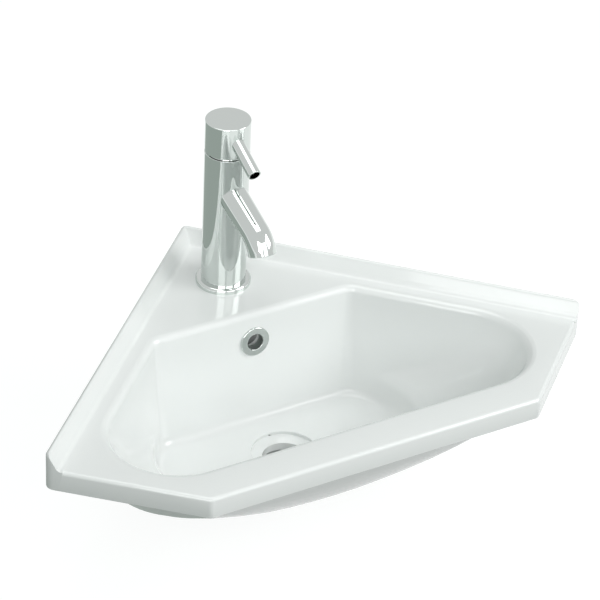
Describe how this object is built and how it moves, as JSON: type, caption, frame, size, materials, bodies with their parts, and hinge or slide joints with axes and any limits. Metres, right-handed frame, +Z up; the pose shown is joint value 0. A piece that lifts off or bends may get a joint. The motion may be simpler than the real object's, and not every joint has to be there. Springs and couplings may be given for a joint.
{
  "type": "corner basin with mixer tap",
  "caption": "Glazed ceramic corner basin with coved upstands, a ring overflow and an open waste hole, with a chrome single-lever mixer whose lever turns and lifts",
  "frame": {"origin": "on the waste hole's axis, at the underside of the waste boss", "axes": "+Z up, +Y towards the wall corner, -Y towards the user, X across the basin"},
  "size_m": [0.592, 0.407, 0.344],
  "materials": {
    "glaze": "glossy",
    "chrome": "polished",
    "brass": "machined",
    "steel": "plain",
    "rubber": "matt",
    "white_plastic": "matt",
    "blue_plastic": "matt",
    "disc_ceramic": "ground"
  },
  "bodies": {
    "basin": {"basin_ceramic": "glaze", "overflow_ring": "chrome", "base_flange": "chrome", "flange_gasket": "rubber", "tap_body": "chrome", "spout": "chrome", "aerator_shell": "chrome", "aerator_mesh": "white_plastic", "aerator_washer": "rubber", "cartridge_base": "white_plastic", "cartridge_seals": "rubber", "cartridge_housing": "white_plastic", "fixed_disc": "disc_ceramic", "cartridge_nut": "brass", "dome_cover": "chrome", "fixing_stud": "steel", "fixing_pad": "rubber", "fixing_plate": "steel", "fixing_nut": "brass"},
    "swivel": {"cartridge_rotor": "blue_plastic", "rotor_pin": "steel"},
    "handle": {"cartridge_stem": "steel", "head_cap": "chrome", "lever_rod": "chrome", "grub_screw": "steel"},
    "disc": {"moving_disc": "disc_ceramic", "disc_carrier": "blue_plastic"}
  },
  "joints": [
    {"name": "handle_swivel", "type": "hinge", "parent": "basin", "child": "swivel", "pos_m": [0, 0.1413, 0.299], "axis": [0, 0, 1], "range_deg": [-50, 50]},
    {"name": "handle_lift", "type": "hinge", "parent": "swivel", "child": "handle", "pos_m": [0, 0.1413, 0.299], "axis": [-1, 0, 0], "range_deg": [0, 20]},
    {"name": "disc_slide", "type": "slide", "parent": "swivel", "child": "disc", "axis": [0, -1, 0], "range_m": [0, 0.0029]}
  ],
  "couplings": [
    {"joint": "disc_slide", "follows": "handle_lift", "m_per_rad": 0.00823}
  ]
}
